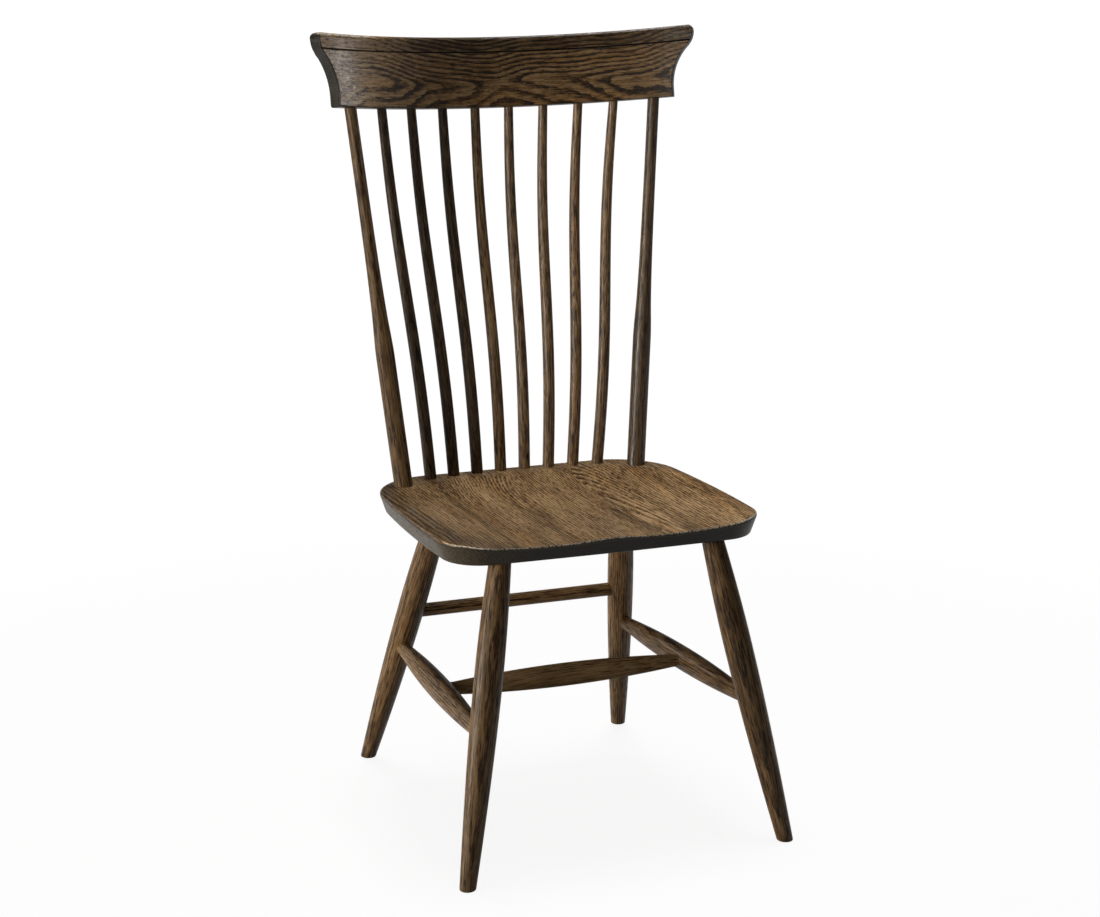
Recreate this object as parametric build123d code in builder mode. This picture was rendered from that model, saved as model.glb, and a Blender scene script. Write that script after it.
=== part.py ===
from build123d import *
import os
from math import atan, cos, degrees, exp, pi, radians, sin

# All-wood side chair: saddled seat, splayed turned legs, spindle back under a bent crest rail.
# Millimetres, +Z up. The sitter faces -Y and the chair's own left and right are the viewer's from
# the front. The origin is on the floor, in the middle of the chair's outer box.

# Glued round joints
GLUE_GAP = 0.1
SOCKET_RELIEF = 1.0

# Seat
SEAT_HEIGHT = 454.5
SEAT_THICKNESS = 29.5
SEAT_FRONT_Y = -222.0
SEAT_BACK_Y = 188.0
SEAT_FRONT_BOW = 5.0
SEAT_WIDTH = 478.0
SEAT_WIDEST_Y = -100.0
SEAT_FRONT_WIDTH = 468.0
SEAT_BACK_WIDTH = 446.0
SEAT_FRONT_CORNER = 64.0
SEAT_BACK_CORNER = 100.0
SEAT_EDGE_BEVEL = 19.0
SEAT_RIM_ROUND = 5.0
SEAT_UNDER_ROUND = 3.0
SEAT_BOARD_JOINTS = (-114.0, -25.0, 76.0, 152.0)

# Saddle hollowed out of the seat
SADDLE_DEPTH = 11.0
SADDLE_FRONT_DEPTH = 8.0
SADDLE_DEEPEST_Y = 25.0
SADDLE_BACK_Y = 147.0
SADDLE_HALF_WIDTH = 225.0
SADDLE_SIDE_POWER = 4
POMMEL_RISE = 3.5
POMMEL_HALF_WIDTH = 42.0
SADDLE_CLEAR = 16.0
SADDLE_STATIONS = 9
SADDLE_COLUMNS = 13

# Legs
FRONT_FOOT = (237.0, -278.6)
FRONT_LEG_TOP = (156.9, -190.9)
REAR_FOOT = (209.3, 251.8)
REAR_LEG_TOP = (143.4, 93.5)
LEG_FOOT_DIAMETER = 22.4
LEG_SWELL_DIAMETER = 39.2
LEG_TOP_DIAMETER = 30.4
LEG_SWELL_HEIGHT = 278.0
LEG_FOOT_TAPER = 0.048
LEG_TOP_TAPER = 0.05
LEG_TENON_DIAMETER = 25.4
LEG_TENON_LENGTH = 19.0
LEG_TRIM = 14.0
FOOT_EASE = 2.0

# Stretchers
SIDE_STRETCHER_HEIGHT = 198.0
SIDE_STRETCHER_SWELL = 34.0
SIDE_STRETCHER_END = 20.0
CENTRE_STRETCHER_FORWARD = 8.0
CENTRE_STRETCHER_SWELL = 33.5
CENTRE_STRETCHER_END = 18.5
REAR_STRETCHER_HEIGHT = 255.5
REAR_STRETCHER_DIAMETER = 20.0
STRETCHER_NECK = 2.0
TENON_PAST_AXIS = 5.0

# Crest rail
CREST_BASE_Y = 251.7
CREST_BASE_HEIGHT = 986.0
CREST_RECLINE = 11.2
CREST_RADIUS = 480.0
CREST_THICKNESS = 18.5
CREST_HEIGHT = 103.5
CREST_BASE_REACH = 271.0
CREST_LOBE_REACH = 306.5
CREST_END_RISE = 15.0
CREST_LOBE_ROUND = 7.5
CREST_FLARE_SHARE = 0.73
CREST_TOP_FRONT_ROUND = 5.0
CREST_TOP_BACK_ROUND = 6.0
CREST_UNDER_ROUND = 1.5
CREST_LINE_HEIGHT = 80.5
CREST_LINE_WIDTH = 2.4
CREST_LINE_DEPTH = 1.6
CREST_END_TRIM = 12.0

# Back posts
POST_HALF_SPACING = 184.4
POST_SETBACK = 52.0
POST_CREST_REACH = 247.0
POST_SWELL_DIAMETER = 27.0
POST_SWELL_LENGTH = 188.0
POST_NECK_DIAMETER = 21.8
POST_NECK_RISE = 65.0
POST_SLIM_DIAMETER = 18.2
POST_SLIM_RISE = 165.0
POST_CREST_DIAMETER = 17.2
POST_SEAT_TENON = 22.0
POST_SEAT_TENON_LENGTH = 22.0
POST_CREST_TENON = 12.7
POST_CREST_TENON_LENGTH = 26.0

# Back spindles
SPINDLE_COUNT = 8
SPINDLE_SEAT_PITCH = 38.0
SPINDLE_SETBACK = 12.5
SPINDLE_ROW_RADIUS = 820.0
SPINDLE_CREST_PITCH = 53.0
SPINDLE_SEAT_DIAMETER = 17.5
SPINDLE_CREST_DIAMETER = 13.6
SPINDLE_TAPER_POWER = 2.2
SPINDLE_BOW = 7.8
SPINDLE_NECK = 4.0
SPINDLE_SEAT_TENON = 12.0
SPINDLE_SEAT_TENON_LENGTH = 15.0
SPINDLE_CREST_TENON_LENGTH = 26.0
SPINDLE_SECTIONS = 9

os.makedirs("parts", exist_ok=True)


def hand_in(piece, name):
    """Label one finished piece and write it under its own name."""
    piece.part.label = name
    export_step(piece.part, f"parts/{name}.step")


def along(start, end):
    """Unit vector from one point to another."""
    return (end - start).normalized()


def turning_plane(start, end):
    """Plane through a turned piece's axis: local X is the radius, local Y runs along the axis."""
    axis = along(start, end)
    radius = axis.cross(Vector(0, 0, 1)).normalized()
    return Plane(origin=start, x_dir=radius, z_dir=radius.cross(axis))


def at_height(foot, top, height):
    """Point of a leg's axis at a height above the floor."""
    return foot + (top - foot) * (height / top.Z)


# Where the legs, stretchers and sockets meet

seat_under = SEAT_HEIGHT - SEAT_THICKNESS
legs = {}
for side, hand in (("left", -1), ("right", 1)):
    for end, foot, top in (("front", FRONT_FOOT, FRONT_LEG_TOP), ("rear", REAR_FOOT, REAR_LEG_TOP)):
        foot_point = Vector(hand * foot[0], foot[1], 0)
        top_point = Vector(hand * top[0], top[1], seat_under)
        legs[f"{end}_{side}_leg"] = (foot_point, top_point)

side_ends = {}
for side in ("left", "right"):
    front_joint = at_height(*legs[f"front_{side}_leg"], SIDE_STRETCHER_HEIGHT)
    rear_joint = at_height(*legs[f"rear_{side}_leg"], SIDE_STRETCHER_HEIGHT)
    side_ends[side] = (front_joint, rear_joint)

rear_ends = []
for side in ("left", "right"):
    rear_ends.append(at_height(*legs[f"rear_{side}_leg"], REAR_STRETCHER_HEIGHT))

centre_ends = []
for side in ("left", "right"):
    front_joint, rear_joint = side_ends[side]
    middle = (front_joint + rear_joint) * 0.5
    centre_ends.append(middle + along(rear_joint, front_joint) * CENTRE_STRETCHER_FORWARD)

# Frame of the bent crest rail: it bends about an axis in front of it that leans with the back

crest_rise = Vector(0, sin(radians(CREST_RECLINE)), cos(radians(CREST_RECLINE)))
crest_back = Vector(0, cos(radians(CREST_RECLINE)), -sin(radians(CREST_RECLINE)))
crest_base = Vector(0, CREST_BASE_Y, CREST_BASE_HEIGHT)
crest_centre = crest_base - crest_back * CREST_RADIUS
crest_middle_radius = CREST_RADIUS + CREST_THICKNESS / 2
crest_under = Plane(origin=crest_base, z_dir=crest_rise)


def crest_radial(angle):
    """Direction from the bending axis out through the crest rail, angle in radians from the middle."""
    return crest_back * cos(angle) + Vector(sin(angle), 0, 0)


def crest_tangent(angle):
    """Direction along the crest rail towards the right."""
    return crest_back * -sin(angle) + Vector(cos(angle), 0, 0)


def crest_point(reach, rise):
    """Point inside the crest rail, by its reach along the rail and its rise above the lower edge."""
    angle = reach / crest_middle_radius
    return crest_centre + crest_radial(angle) * crest_middle_radius + crest_rise * rise


# Sockets of the back

posts = {}
for side, hand in (("left", -1), ("right", 1)):
    post_base = Vector(hand * POST_HALF_SPACING, SEAT_BACK_Y - POST_SETBACK, SEAT_HEIGHT)
    post_top = crest_point(hand * POST_CREST_REACH, POST_CREST_TENON_LENGTH / 2)
    posts[f"{side}_back_post"] = (post_base, post_top)

spindle_forward = Vector(0, -1, 0)
spindles = []
for index in range(SPINDLE_COUNT):
    place = index - (SPINDLE_COUNT - 1) / 2
    base_x = place * SPINDLE_SEAT_PITCH
    base_y = SEAT_BACK_Y - SPINDLE_SETBACK - base_x**2 / (2 * SPINDLE_ROW_RADIUS)
    spindle_base = Vector(base_x, base_y, SEAT_HEIGHT)
    crest_reach = place * SPINDLE_CREST_PITCH
    spindle_top = crest_point(crest_reach, 0)
    chord = spindle_top - spindle_base
    base_way = (chord + spindle_forward * (2 * pi * SPINDLE_BOW)).normalized()
    tangent = crest_tangent(crest_reach / crest_middle_radius)
    top_way = (crest_rise + tangent * (chord.dot(tangent) / chord.dot(crest_rise))).normalized()
    spindles.append((spindle_base, base_way, spindle_top, top_way))

# Seat blank: outline, bevelled edge, saddle and sockets


def saddle_depth(x, y):
    """Depth of the saddle below the flat seat top, negative outside it."""
    sides = SADDLE_DEPTH * (abs(x) / SADDLE_HALF_WIDTH) ** SADDLE_SIDE_POWER
    if y > SADDLE_DEEPEST_Y:
        reach = (y - SADDLE_DEEPEST_Y) / (SADDLE_BACK_Y - SADDLE_DEEPEST_Y)
        return SADDLE_DEPTH * (1 - reach**2) - sides
    reach = (SADDLE_DEEPEST_Y - y) / (SADDLE_DEEPEST_Y - SEAT_FRONT_Y)
    level = SADDLE_DEPTH - (SADDLE_DEPTH - SADDLE_FRONT_DEPTH) * reach**2
    pommel = POMMEL_RISE * reach**2 * exp(-((x / POMMEL_HALF_WIDTH) ** 2))
    return level - sides - pommel


saddle_start = SEAT_FRONT_Y - SADDLE_CLEAR
saddle_end = SADDLE_BACK_Y + SADDLE_CLEAR
saddle_half = SEAT_WIDTH / 2 + SADDLE_CLEAR
saddle_lid = SEAT_HEIGHT + 3 * SADDLE_DEPTH

with BuildPart() as saddle:
    for station in range(SADDLE_STATIONS):
        station_y = saddle_start + (saddle_end - saddle_start) * station / (SADDLE_STATIONS - 1)
        hollow = []
        for column in range(SADDLE_COLUMNS):
            column_x = saddle_half * (2 * column / (SADDLE_COLUMNS - 1) - 1)
            hollow.append((column_x, SEAT_HEIGHT - saddle_depth(column_x, station_y)))
        with BuildSketch(Plane(origin=(0, station_y, 0), x_dir=(1, 0, 0), z_dir=(0, -1, 0))):
            with BuildLine():
                Spline(*hollow)
                Polyline(hollow[-1], (saddle_half, saddle_lid), (-saddle_half, saddle_lid), hollow[0])
            make_face()
    loft()

front_corner = Vector(SEAT_FRONT_WIDTH / 2, SEAT_FRONT_Y + SEAT_FRONT_BOW)
back_corner = Vector(SEAT_BACK_WIDTH / 2, SEAT_BACK_Y)
widest = Vector(SEAT_WIDTH / 2, SEAT_WIDEST_Y)

with BuildPart() as seat:
    with BuildSketch(Plane.XY.offset(SEAT_HEIGHT)) as seat_outline:
        with BuildLine():
            ThreePointArc((-front_corner.X, front_corner.Y), (0, SEAT_FRONT_Y), front_corner)
            ThreePointArc(front_corner, widest, back_corner)
            Line(back_corner, (-back_corner.X, back_corner.Y))
            ThreePointArc(
                (-back_corner.X, back_corner.Y), (-widest.X, widest.Y), (-front_corner.X, front_corner.Y)
            )
        make_face()
        fillet(seat_outline.vertices().group_by(Axis.Y)[0], SEAT_FRONT_CORNER)
        fillet(seat_outline.vertices().group_by(Axis.Y)[-1], SEAT_BACK_CORNER)
    extrude(amount=-SEAT_THICKNESS, taper=SEAT_EDGE_BEVEL)
    fillet(seat.edges().group_by(Axis.Z)[-1], SEAT_RIM_ROUND)
    fillet(seat.edges().group_by(Axis.Z)[0], SEAT_UNDER_ROUND)
    add(saddle.part, mode=Mode.SUBTRACT)
    for foot_point, top_point in legs.values():
        with Locations(Plane(origin=top_point, z_dir=along(foot_point, top_point))):
            Cylinder(
                LEG_TENON_DIAMETER / 2 + GLUE_GAP,
                2 * (LEG_TENON_LENGTH + SOCKET_RELIEF),
                mode=Mode.SUBTRACT,
            )
    for post_base, post_top in posts.values():
        with Locations(Plane(origin=post_base, z_dir=along(post_base, post_top))):
            Cylinder(
                POST_SEAT_TENON / 2 + GLUE_GAP,
                2 * (POST_SEAT_TENON_LENGTH + SOCKET_RELIEF),
                mode=Mode.SUBTRACT,
            )
    for spindle_base, base_way, spindle_top, top_way in spindles:
        with Locations(Plane(origin=spindle_base, z_dir=base_way)):
            Cylinder(
                SPINDLE_SEAT_TENON / 2 + GLUE_GAP,
                2 * (SPINDLE_SEAT_TENON_LENGTH + SOCKET_RELIEF),
                mode=Mode.SUBTRACT,
            )

# The seat blank is glued up from boards whose grain runs front to back

board_edges = (None, *SEAT_BOARD_JOINTS, None)
for index in range(len(SEAT_BOARD_JOINTS) + 1):
    with BuildPart() as seat_board:
        add(seat.part)
        if board_edges[index] is not None:
            split(bisect_by=Plane.YZ.offset(board_edges[index]), keep=Keep.TOP)
        if board_edges[index + 1] is not None:
            split(bisect_by=Plane.YZ.offset(board_edges[index + 1]), keep=Keep.BOTTOM)
    hand_in(seat_board, f"seat_board_{index + 1}")

# Legs: turned with a swell, cut level at the floor and at the seat, tenoned into the seat


def stretcher_sockets(name):
    """Stretcher joints in one leg: the joint, the way into the stretcher and the socket's diameter."""
    end, side, _ = name.split("_")
    front_joint, rear_joint = side_ends[side]
    joint, other = (front_joint, rear_joint) if end == "front" else (rear_joint, front_joint)
    sockets = [(joint, along(joint, other), SIDE_STRETCHER_END)]
    if end == "rear":
        left_joint, right_joint = rear_ends
        joint, other = (left_joint, right_joint) if side == "left" else (right_joint, left_joint)
        sockets.append((joint, along(joint, other), REAR_STRETCHER_DIAMETER))
    return sockets


foot_radius = LEG_FOOT_DIAMETER / 2
swell_radius = LEG_SWELL_DIAMETER / 2
top_radius = LEG_TOP_DIAMETER / 2

for name, (foot_point, top_point) in legs.items():
    leg_way = along(foot_point, top_point)
    leg_length = (top_point - foot_point).length
    swell_at = leg_length * LEG_SWELL_HEIGHT / seat_under
    with BuildPart() as leg:
        with BuildSketch(turning_plane(foot_point, top_point)):
            with BuildLine():
                Polyline(
                    (0, leg_length + LEG_TRIM),
                    (0, -LEG_TRIM),
                    (foot_radius - LEG_FOOT_TAPER * LEG_TRIM, -LEG_TRIM),
                    (foot_radius, 0),
                )
                Spline(
                    (foot_radius, 0),
                    (swell_radius, swell_at),
                    (top_radius, leg_length),
                    tangents=((LEG_FOOT_TAPER, 1), (0, 1), (-LEG_TOP_TAPER, 1)),
                )
                Polyline(
                    (top_radius, leg_length),
                    (top_radius - LEG_TOP_TAPER * LEG_TRIM, leg_length + LEG_TRIM),
                    (0, leg_length + LEG_TRIM),
                )
            make_face()
        revolve(axis=Axis(foot_point, leg_way))
        split(bisect_by=Plane.XY, keep=Keep.TOP)
        fillet(leg.edges().group_by(Axis.Z)[0], FOOT_EASE)
        split(bisect_by=Plane.XY.offset(seat_under), keep=Keep.BOTTOM)
        with Locations(Plane(origin=top_point, z_dir=leg_way)):
            Cylinder(LEG_TENON_DIAMETER / 2, 2 * LEG_TENON_LENGTH)
        for joint, way, socket in stretcher_sockets(name):
            with Locations(Plane(origin=joint - way * (TENON_PAST_AXIS + SOCKET_RELIEF), z_dir=way)):
                Cylinder(
                    socket / 2 + GLUE_GAP,
                    TENON_PAST_AXIS + SOCKET_RELIEF + LEG_SWELL_DIAMETER,
                    align=(Align.CENTER, Align.CENTER, Align.MIN),
                    mode=Mode.SUBTRACT,
                )
    hand_in(leg, name)

# Stretchers: straight necks as tenons, swelled between them


def stretcher_profile(start, end, end_diameter, swell_diameter, neck):
    """Half section of a stretcher between two joints, with its tenons reaching past each joint."""
    span = (end - start).length
    end_radius = end_diameter / 2
    with BuildSketch(turning_plane(start, end)) as half_section:
        with BuildLine():
            Polyline(
                (end_radius, span - neck),
                (end_radius, span + TENON_PAST_AXIS),
                (0, span + TENON_PAST_AXIS),
                (0, -TENON_PAST_AXIS),
                (end_radius, -TENON_PAST_AXIS),
                (end_radius, neck),
            )
            Spline((end_radius, neck), (swell_diameter / 2, span / 2), (end_radius, span - neck))
        make_face()
    return half_section.sketch


def neck_length(carrier_diameter, carrier_way, way, tenon_diameter):
    """Straight length that a tenon needs from a leaning carrier's axis to clear of its surface."""
    lean = abs(carrier_way.dot(way))
    upright = (1 - lean**2) ** 0.5
    return (carrier_diameter / 2 + tenon_diameter / 2 * lean) / upright + STRETCHER_NECK


for side, (front_joint, rear_joint) in side_ends.items():
    centre_joint = centre_ends[0] if side == "left" else centre_ends[1]
    inward = along(centre_ends[0], centre_ends[1]) * (1 if side == "left" else -1)
    side_way = along(front_joint, rear_joint)
    rear_way = along(*legs[f"rear_{side}_leg"])
    leg_neck = neck_length(LEG_SWELL_DIAMETER, rear_way, side_way, SIDE_STRETCHER_END)
    profile = stretcher_profile(front_joint, rear_joint, SIDE_STRETCHER_END, SIDE_STRETCHER_SWELL, leg_neck)
    with BuildPart() as side_stretcher:
        revolve(profile, axis=Axis(front_joint, side_way))
        socket_floor = centre_joint - inward * (TENON_PAST_AXIS + SOCKET_RELIEF)
        with Locations(Plane(origin=socket_floor, z_dir=inward)):
            Cylinder(
                CENTRE_STRETCHER_END / 2 + GLUE_GAP,
                TENON_PAST_AXIS + SOCKET_RELIEF + SIDE_STRETCHER_SWELL,
                align=(Align.CENTER, Align.CENTER, Align.MIN),
                mode=Mode.SUBTRACT,
            )
    hand_in(side_stretcher, f"{side}_side_stretcher")

centre_way = along(*centre_ends)
side_neck = neck_length(SIDE_STRETCHER_SWELL, along(*side_ends["left"]), centre_way, CENTRE_STRETCHER_END)
profile = stretcher_profile(*centre_ends, CENTRE_STRETCHER_END, CENTRE_STRETCHER_SWELL, side_neck)
with BuildPart() as centre_stretcher:
    revolve(profile, axis=Axis(centre_ends[0], centre_way))
hand_in(centre_stretcher, "centre_stretcher")

with BuildPart() as rear_stretcher:
    rear_span = (rear_ends[1] - rear_ends[0]).length
    with BuildSketch(Plane(origin=rear_ends[0], z_dir=along(*rear_ends)).offset(-TENON_PAST_AXIS)):
        Circle(REAR_STRETCHER_DIAMETER / 2)
    extrude(amount=rear_span + 2 * TENON_PAST_AXIS)
hand_in(rear_stretcher, "rear_stretcher")

# Crest rail: its section swept round the bending axis, with flared ogee ends and sockets below

crest_end_angle = (CREST_LOBE_REACH + CREST_END_TRIM) / CREST_RADIUS
flare = CREST_LOBE_REACH - CREST_BASE_REACH
lobe_height = CREST_HEIGHT - CREST_LOBE_ROUND
flare_turn = 2 * atan(flare / (lobe_height - CREST_END_RISE))
flare_radii = (lobe_height - CREST_END_RISE) / sin(flare_turn)
hollow_radius = flare_radii * CREST_FLARE_SHARE
turn_x = hollow_radius * (1 - cos(flare_turn))
turn_y = CREST_END_RISE + hollow_radius * sin(flare_turn)
past_end = flare + CREST_END_TRIM * 2
past_top = CREST_HEIGHT + CREST_END_TRIM

with BuildPart() as crest_rail:
    section_plane = Plane(
        origin=crest_centre + crest_radial(crest_end_angle) * CREST_RADIUS,
        x_dir=crest_radial(crest_end_angle),
        z_dir=crest_tangent(crest_end_angle),
    )
    with BuildSketch(section_plane) as crest_section:
        Rectangle(CREST_THICKNESS, CREST_HEIGHT, align=(Align.MIN, Align.MIN))
        fillet(crest_section.vertices().group_by(Axis.Y)[0], CREST_UNDER_ROUND)
        fillet(crest_section.vertices().sort_by_distance((0, CREST_HEIGHT))[0], CREST_TOP_FRONT_ROUND)
        fillet(
            crest_section.vertices().sort_by_distance((CREST_THICKNESS, CREST_HEIGHT))[0],
            CREST_TOP_BACK_ROUND,
        )
        with BuildLine():
            Polyline(
                (0, CREST_LINE_HEIGHT - CREST_LINE_WIDTH / 2),
                (CREST_LINE_DEPTH, CREST_LINE_HEIGHT),
                (0, CREST_LINE_HEIGHT + CREST_LINE_WIDTH / 2),
                close=True,
            )
        make_face(mode=Mode.SUBTRACT)
    revolve(axis=Axis(crest_centre, crest_rise), revolution_arc=degrees(2 * crest_end_angle))
    for hand in (-1, 1):
        base_angle = hand * CREST_BASE_REACH / CREST_RADIUS
        end_plane = Plane(
            origin=crest_centre + crest_radial(base_angle) * CREST_RADIUS,
            x_dir=crest_tangent(base_angle) * hand,
            z_dir=crest_radial(base_angle) * -hand,
        )
        with BuildSketch(end_plane):
            with BuildLine():
                Line((0, -CREST_END_TRIM), (0, CREST_END_RISE))
                TangentArc((0, CREST_END_RISE), (turn_x, turn_y), tangent=(0, 1))
                TangentArc((turn_x, turn_y), (flare, lobe_height), tangent=(sin(flare_turn), cos(flare_turn)))
                TangentArc((flare, lobe_height), (flare - CREST_LOBE_ROUND, CREST_HEIGHT), tangent=(0, 1))
                Polyline(
                    (flare - CREST_LOBE_ROUND, CREST_HEIGHT),
                    (flare - CREST_LOBE_ROUND, past_top),
                    (past_end, past_top),
                    (past_end, -CREST_END_TRIM),
                    (0, -CREST_END_TRIM),
                )
            make_face()
        extrude(amount=2 * CREST_THICKNESS, both=True, mode=Mode.SUBTRACT)
    for post_base, post_top in posts.values():
        with Locations(Plane(origin=post_top, z_dir=along(post_base, post_top))):
            Cylinder(
                POST_CREST_TENON / 2 + GLUE_GAP,
                POST_CREST_TENON_LENGTH + 2 * SOCKET_RELIEF,
                mode=Mode.SUBTRACT,
            )
    for spindle_base, base_way, spindle_top, top_way in spindles:
        with Locations(Plane(origin=spindle_top, z_dir=top_way)):
            Cylinder(
                SPINDLE_CREST_DIAMETER / 2 + GLUE_GAP,
                2 * (SPINDLE_CREST_TENON_LENGTH + SOCKET_RELIEF),
                mode=Mode.SUBTRACT,
            )
hand_in(crest_rail, "crest_rail")

# Back posts: straight, stout in the lower third, shouldered at the seat and under the crest rail

post_radius = POST_SWELL_DIAMETER / 2
post_neck_at = POST_SWELL_LENGTH + POST_NECK_RISE
post_slim_at = POST_SWELL_LENGTH + POST_SLIM_RISE
crest_radius_of_post = POST_CREST_DIAMETER / 2

for name, (post_base, post_top) in posts.items():
    post_way = along(post_base, post_top)
    post_length = (post_top - post_base).length
    with BuildPart() as post:
        with BuildSketch(turning_plane(post_base, post_top)):
            with BuildLine():
                Polyline(
                    (crest_radius_of_post, post_length),
                    (0, post_length),
                    (0, -POST_SWELL_DIAMETER),
                    (post_radius, -POST_SWELL_DIAMETER),
                    (post_radius, POST_SWELL_LENGTH),
                )
                Spline(
                    (post_radius, POST_SWELL_LENGTH),
                    (POST_NECK_DIAMETER / 2, post_neck_at),
                    (POST_SLIM_DIAMETER / 2, post_slim_at),
                    (crest_radius_of_post, post_length),
                    tangents=((0, 1), (0, 1)),
                )
            make_face()
        revolve(axis=Axis(post_base, post_way))
        split(bisect_by=Plane.XY.offset(SEAT_HEIGHT), keep=Keep.TOP)
        split(bisect_by=crest_under, keep=Keep.BOTTOM)
        with Locations(Plane(origin=post_base, z_dir=post_way)):
            Cylinder(POST_SEAT_TENON / 2, 2 * POST_SEAT_TENON_LENGTH)
        with Locations(Plane(origin=post_top, z_dir=post_way)):
            Cylinder(POST_CREST_TENON / 2, POST_CREST_TENON_LENGTH)
    hand_in(post, name)

# Back spindles: slim, S-bent forwards at the small of the back and backwards above it, shouldered at the seat

seat_spindle_radius = SPINDLE_SEAT_DIAMETER / 2
spindle_taper = (SPINDLE_SEAT_DIAMETER - SPINDLE_CREST_DIAMETER) / 2

for index, (spindle_base, base_way, spindle_top, top_way) in enumerate(spindles):
    neck_base = spindle_base + base_way * SPINDLE_NECK
    neck_top = spindle_top - top_way * SPINDLE_NECK
    chord = neck_top - neck_base
    with BuildPart() as spindle:
        with BuildSketch(Plane(origin=neck_base, z_dir=base_way)) as seat_end:
            Circle(seat_spindle_radius)
        for section in range(1, SPINDLE_SECTIONS - 1):
            share = section / (SPINDLE_SECTIONS - 1)
            turn = 2 * pi * share
            centre = neck_base + chord * share + spindle_forward * (SPINDLE_BOW * sin(turn))
            way = chord + spindle_forward * (2 * pi * SPINDLE_BOW * cos(turn))
            with BuildSketch(Plane(origin=centre, z_dir=way)):
                Circle(seat_spindle_radius - spindle_taper * share**SPINDLE_TAPER_POWER)
        with BuildSketch(Plane(origin=neck_top, z_dir=top_way)) as crest_end:
            Circle(SPINDLE_CREST_DIAMETER / 2)
        loft()
        extrude(seat_end.sketch, amount=-(SPINDLE_NECK + SPINDLE_SEAT_DIAMETER))
        extrude(crest_end.sketch, amount=SPINDLE_NECK + SPINDLE_CREST_TENON_LENGTH)
        split(bisect_by=Plane.XY.offset(SEAT_HEIGHT), keep=Keep.TOP)
        with Locations(Plane(origin=spindle_base, z_dir=base_way)):
            Cylinder(SPINDLE_SEAT_TENON / 2, 2 * SPINDLE_SEAT_TENON_LENGTH)
    hand_in(spindle, f"back_spindle_{index + 1}")
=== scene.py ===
import bmesh
import bpy
import math
import random
from mathutils import Euler, Matrix, Vector


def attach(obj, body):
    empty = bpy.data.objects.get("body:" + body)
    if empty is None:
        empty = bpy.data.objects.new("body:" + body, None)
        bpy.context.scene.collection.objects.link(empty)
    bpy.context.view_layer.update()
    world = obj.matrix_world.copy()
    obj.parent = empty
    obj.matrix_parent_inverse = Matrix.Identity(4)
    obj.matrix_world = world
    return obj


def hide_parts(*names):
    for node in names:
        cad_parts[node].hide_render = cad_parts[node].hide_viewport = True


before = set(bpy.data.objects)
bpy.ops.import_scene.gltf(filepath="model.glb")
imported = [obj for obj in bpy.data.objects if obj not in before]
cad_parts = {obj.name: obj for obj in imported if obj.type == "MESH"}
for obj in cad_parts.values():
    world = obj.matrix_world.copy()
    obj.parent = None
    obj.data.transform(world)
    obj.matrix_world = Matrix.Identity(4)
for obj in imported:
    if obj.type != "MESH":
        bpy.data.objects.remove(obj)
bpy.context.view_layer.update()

# Looks of a dark stained oak side chair. Shapes are written in millimetres in the frame of the CAD
# model and become metres when a mesh is made.

MM = 0.001
UP = Vector((0, 0, 1))
FORWARD = Vector((0, -1, 0))
SIDES = (("left", -1), ("right", 1))

# Seat
SEAT_HEIGHT = 454.5
SEAT_THICKNESS = 29.5
SEAT_UNDER = SEAT_HEIGHT - SEAT_THICKNESS
SEAT_FRONT_Y = -222.0
SEAT_BACK_Y = 188.0
SEAT_FRONT_BOW = 5.0
SEAT_WIDTH = 478.0
SEAT_WIDEST_Y = -100.0
SEAT_FRONT_WIDTH = 468.0
SEAT_BACK_WIDTH = 446.0
SEAT_FRONT_CORNER = 64.0
SEAT_BACK_CORNER = 100.0
SEAT_EDGE_BEVEL = math.radians(19)
SEAT_UNDER_EASE = 2.2
SEAT_BOARD_JOINTS = (-114.0, -25.0, 76.0, 152.0)
SADDLE_DEPTH = 11.0
SADDLE_FRONT_DEPTH = 8.0
SADDLE_DEEPEST_Y = 25.0
SADDLE_BACK_Y = 147.0
SADDLE_HALF_WIDTH = 225.0
SADDLE_SIDE_POWER = 4
POMMEL_RISE = 3.5
POMMEL_HALF_WIDTH = 42.0

# The seat's rim is rounder along the flat back than where the saddle cuts into it
FLAT_RIM = 7.0
SADDLE_RIM = 3.6

# Legs and stretchers; a stretcher's radii are at its ends and its swell
FRONT_FOOT = (237.0, -278.6)
FRONT_LEG_TOP = (156.9, -190.9)
REAR_FOOT = (209.3, 251.8)
REAR_LEG_TOP = (143.4, 93.5)
LEG_SWELL_HEIGHT = 278.0
LEG_RADII = (11.2, 19.6, 15.2)
LEG_SLOPES = (0.048, 0.0, -0.05)
LEG_TENON_RADIUS = 12.7
LEG_TENON_LENGTH = 19.0
SIDE_STRETCHER_HEIGHT = 198.0
SIDE_STRETCHER_RADII = (10.0, 17.0)
SIDE_STRETCHER_NECK = 27.0
CENTRE_STRETCHER_FORWARD = 8.0
CENTRE_STRETCHER_RADII = (9.25, 16.75)
CENTRE_STRETCHER_NECK = 20.0
REAR_STRETCHER_HEIGHT = 255.5
REAR_STRETCHER_RADII = (10.0, 10.0)
REAR_STRETCHER_NECK = 24.0
TENON_PAST_AXIS = 5.0
TENON_EASE = 1.0

# Eased edge of a foot, as (height above the floor, inset)
FOOT_EDGE = ((0.0, 2.0), (0.15, 1.25), (0.6, 0.55), (1.25, 0.15), (2.0, 0.0))

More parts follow.
